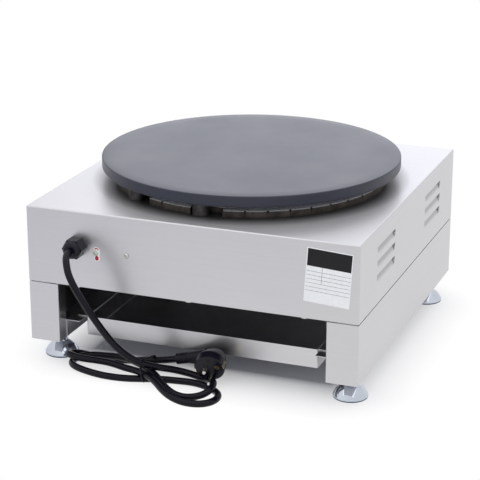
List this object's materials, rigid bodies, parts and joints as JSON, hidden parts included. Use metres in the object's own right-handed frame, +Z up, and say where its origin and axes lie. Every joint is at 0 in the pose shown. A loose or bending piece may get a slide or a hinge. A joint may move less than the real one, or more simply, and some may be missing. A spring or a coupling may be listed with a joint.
{
  "type": "electric crepe maker",
  "caption": "Countertop crepe maker: round cast plate over a louvred steel casing, on an open frame with a sliding tray drawer, levelling feet and a mains lead.",
  "frame": {"origin": "on the worktop under the middle of the body, at the bottom of the feet", "axes": "+Z up, the control side faces -Y, the mains lead leaves the back at +Y, +X to the operator's right"},
  "size_m": [0.446, 0.5411, 0.2486],
  "materials": {
    "steel_sheet": "fine brushed stainless sheet",
    "cast_iron_plate": "seasoned dark grey, fine grain",
    "dark_steel": "heat-darkened machined steel",
    "pan_steel": "warm grey aluminised sheet",
    "insulation": "pressed ceramic fibre",
    "element_sheath": "annealed tubular sheath",
    "chrome_foot": "polished",
    "zinc_fastener": "bright zinc",
    "rubber_pad": "navy, matt",
    "black_plastic": "fine-grained",
    "knob_plastic": "satin phenolic",
    "cord_rubber": "smooth, slightly glossy",
    "seal_rubber": "matt",
    "brass": "bright",
    "pin_nickel": "nickel-plated",
    "ceramic": "unglazed steatite",
    "bezel_aluminium": "satin anodised",
    "lens_green": "clear moulded",
    "lens_orange": "clear moulded"
  },
  "bodies": {
    "body": {"casing": "steel_sheet", "base_plate": "steel_sheet", "left_side_panel": "steel_sheet", "right_side_panel": "steel_sheet", "left_rail": "steel_sheet", "right_rail": "steel_sheet", "frame_screws": "zinc_fastener", "weld_nuts": "zinc_fastener", "lock_nuts": "zinc_fastener", "griddle_plate": "cast_iron_plate", "support_legs": "dark_steel", "leg_bolts": "zinc_fastener", "heater_pan": "pan_steel", "insulation_disc": "insulation", "inner_element": "element_sheath", "outer_element": "element_sheath", "element_clamps": "dark_steel", "clamp_studs": "zinc_fastener", "clamp_nuts": "zinc_fastener", "overheat_limiter": "ceramic", "thermostat_bulb": "brass", "bulb_saddles": "dark_steel", "thermostat_body": "zinc_fastener", "knob_bezel": "bezel_aluminium", "thermostat_nut": "zinc_fastener", "lamp_bodies": "black_plastic", "power_lamp_lens": "lens_green", "heating_lamp_lens": "lens_orange", "gland_body": "black_plastic", "gland_cap": "black_plastic", "gland_seal": "seal_rubber", "gland_locknut": "black_plastic", "terminal_bracket": "steel_sheet", "terminal_block": "ceramic", "rear_screws": "zinc_fastener", "rear_nuts": "zinc_fastener", "cord_inner": "cord_rubber", "cord_lead": "cord_rubber", "cord_hank": "cord_rubber", "cord_tail": "cord_rubber", "cord_tie": "black_plastic", "plug_body": "black_plastic", "plug_pins": "pin_nickel", "plug_earth_contacts": "brass"},
    "drawer": {"drawer_tray": "steel_sheet", "drawer_front": "steel_sheet", "drawer_handle": "chrome_foot", "drawer_screws": "zinc_fastener"},
    "thermostat_dial": {"thermostat_knob": "knob_plastic", "thermostat_spindle": "zinc_fastener"},
    "front_left_leveller": {"front_left_foot": "chrome_foot", "front_left_foot_pad": "rubber_pad"},
    "front_right_leveller": {"front_right_foot": "chrome_foot", "front_right_foot_pad": "rubber_pad"},
    "rear_left_leveller": {"rear_left_foot": "chrome_foot", "rear_left_foot_pad": "rubber_pad"},
    "rear_right_leveller": {"rear_right_foot": "chrome_foot", "rear_right_foot_pad": "rubber_pad"}
  },
  "joints": [
    {"name": "drawer_slide", "type": "slide", "parent": "body", "child": "drawer", "axis": [0, -1, 0], "range_m": [0, 0.26]},
    {"name": "thermostat_turn", "type": "hinge", "parent": "body", "child": "thermostat_dial", "pos_m": [0, -0.235, 0.165], "axis": [0, 1, 0], "range_deg": [0, 270]},
    {"name": "front_left_foot_turn", "type": "hinge", "parent": "body", "child": "front_left_leveller", "pos_m": [-0.20065, -0.181, 0.02], "axis": [0, 0, 1], "range_deg": [-180, 180]},
    {"name": "front_right_foot_turn", "type": "hinge", "parent": "body", "child": "front_right_leveller", "pos_m": [0.20065, -0.181, 0.02], "axis": [0, 0, 1], "range_deg": [-180, 180]},
    {"name": "rear_left_foot_turn", "type": "hinge", "parent": "body", "child": "rear_left_leveller", "pos_m": [-0.20065, 0.181, 0.02], "axis": [0, 0, 1], "range_deg": [-180, 180]},
    {"name": "rear_right_foot_turn", "type": "hinge", "parent": "body", "child": "rear_right_leveller", "pos_m": [0.20065, 0.181, 0.02], "axis": [0, 0, 1], "range_deg": [-180, 180]}
  ]
}
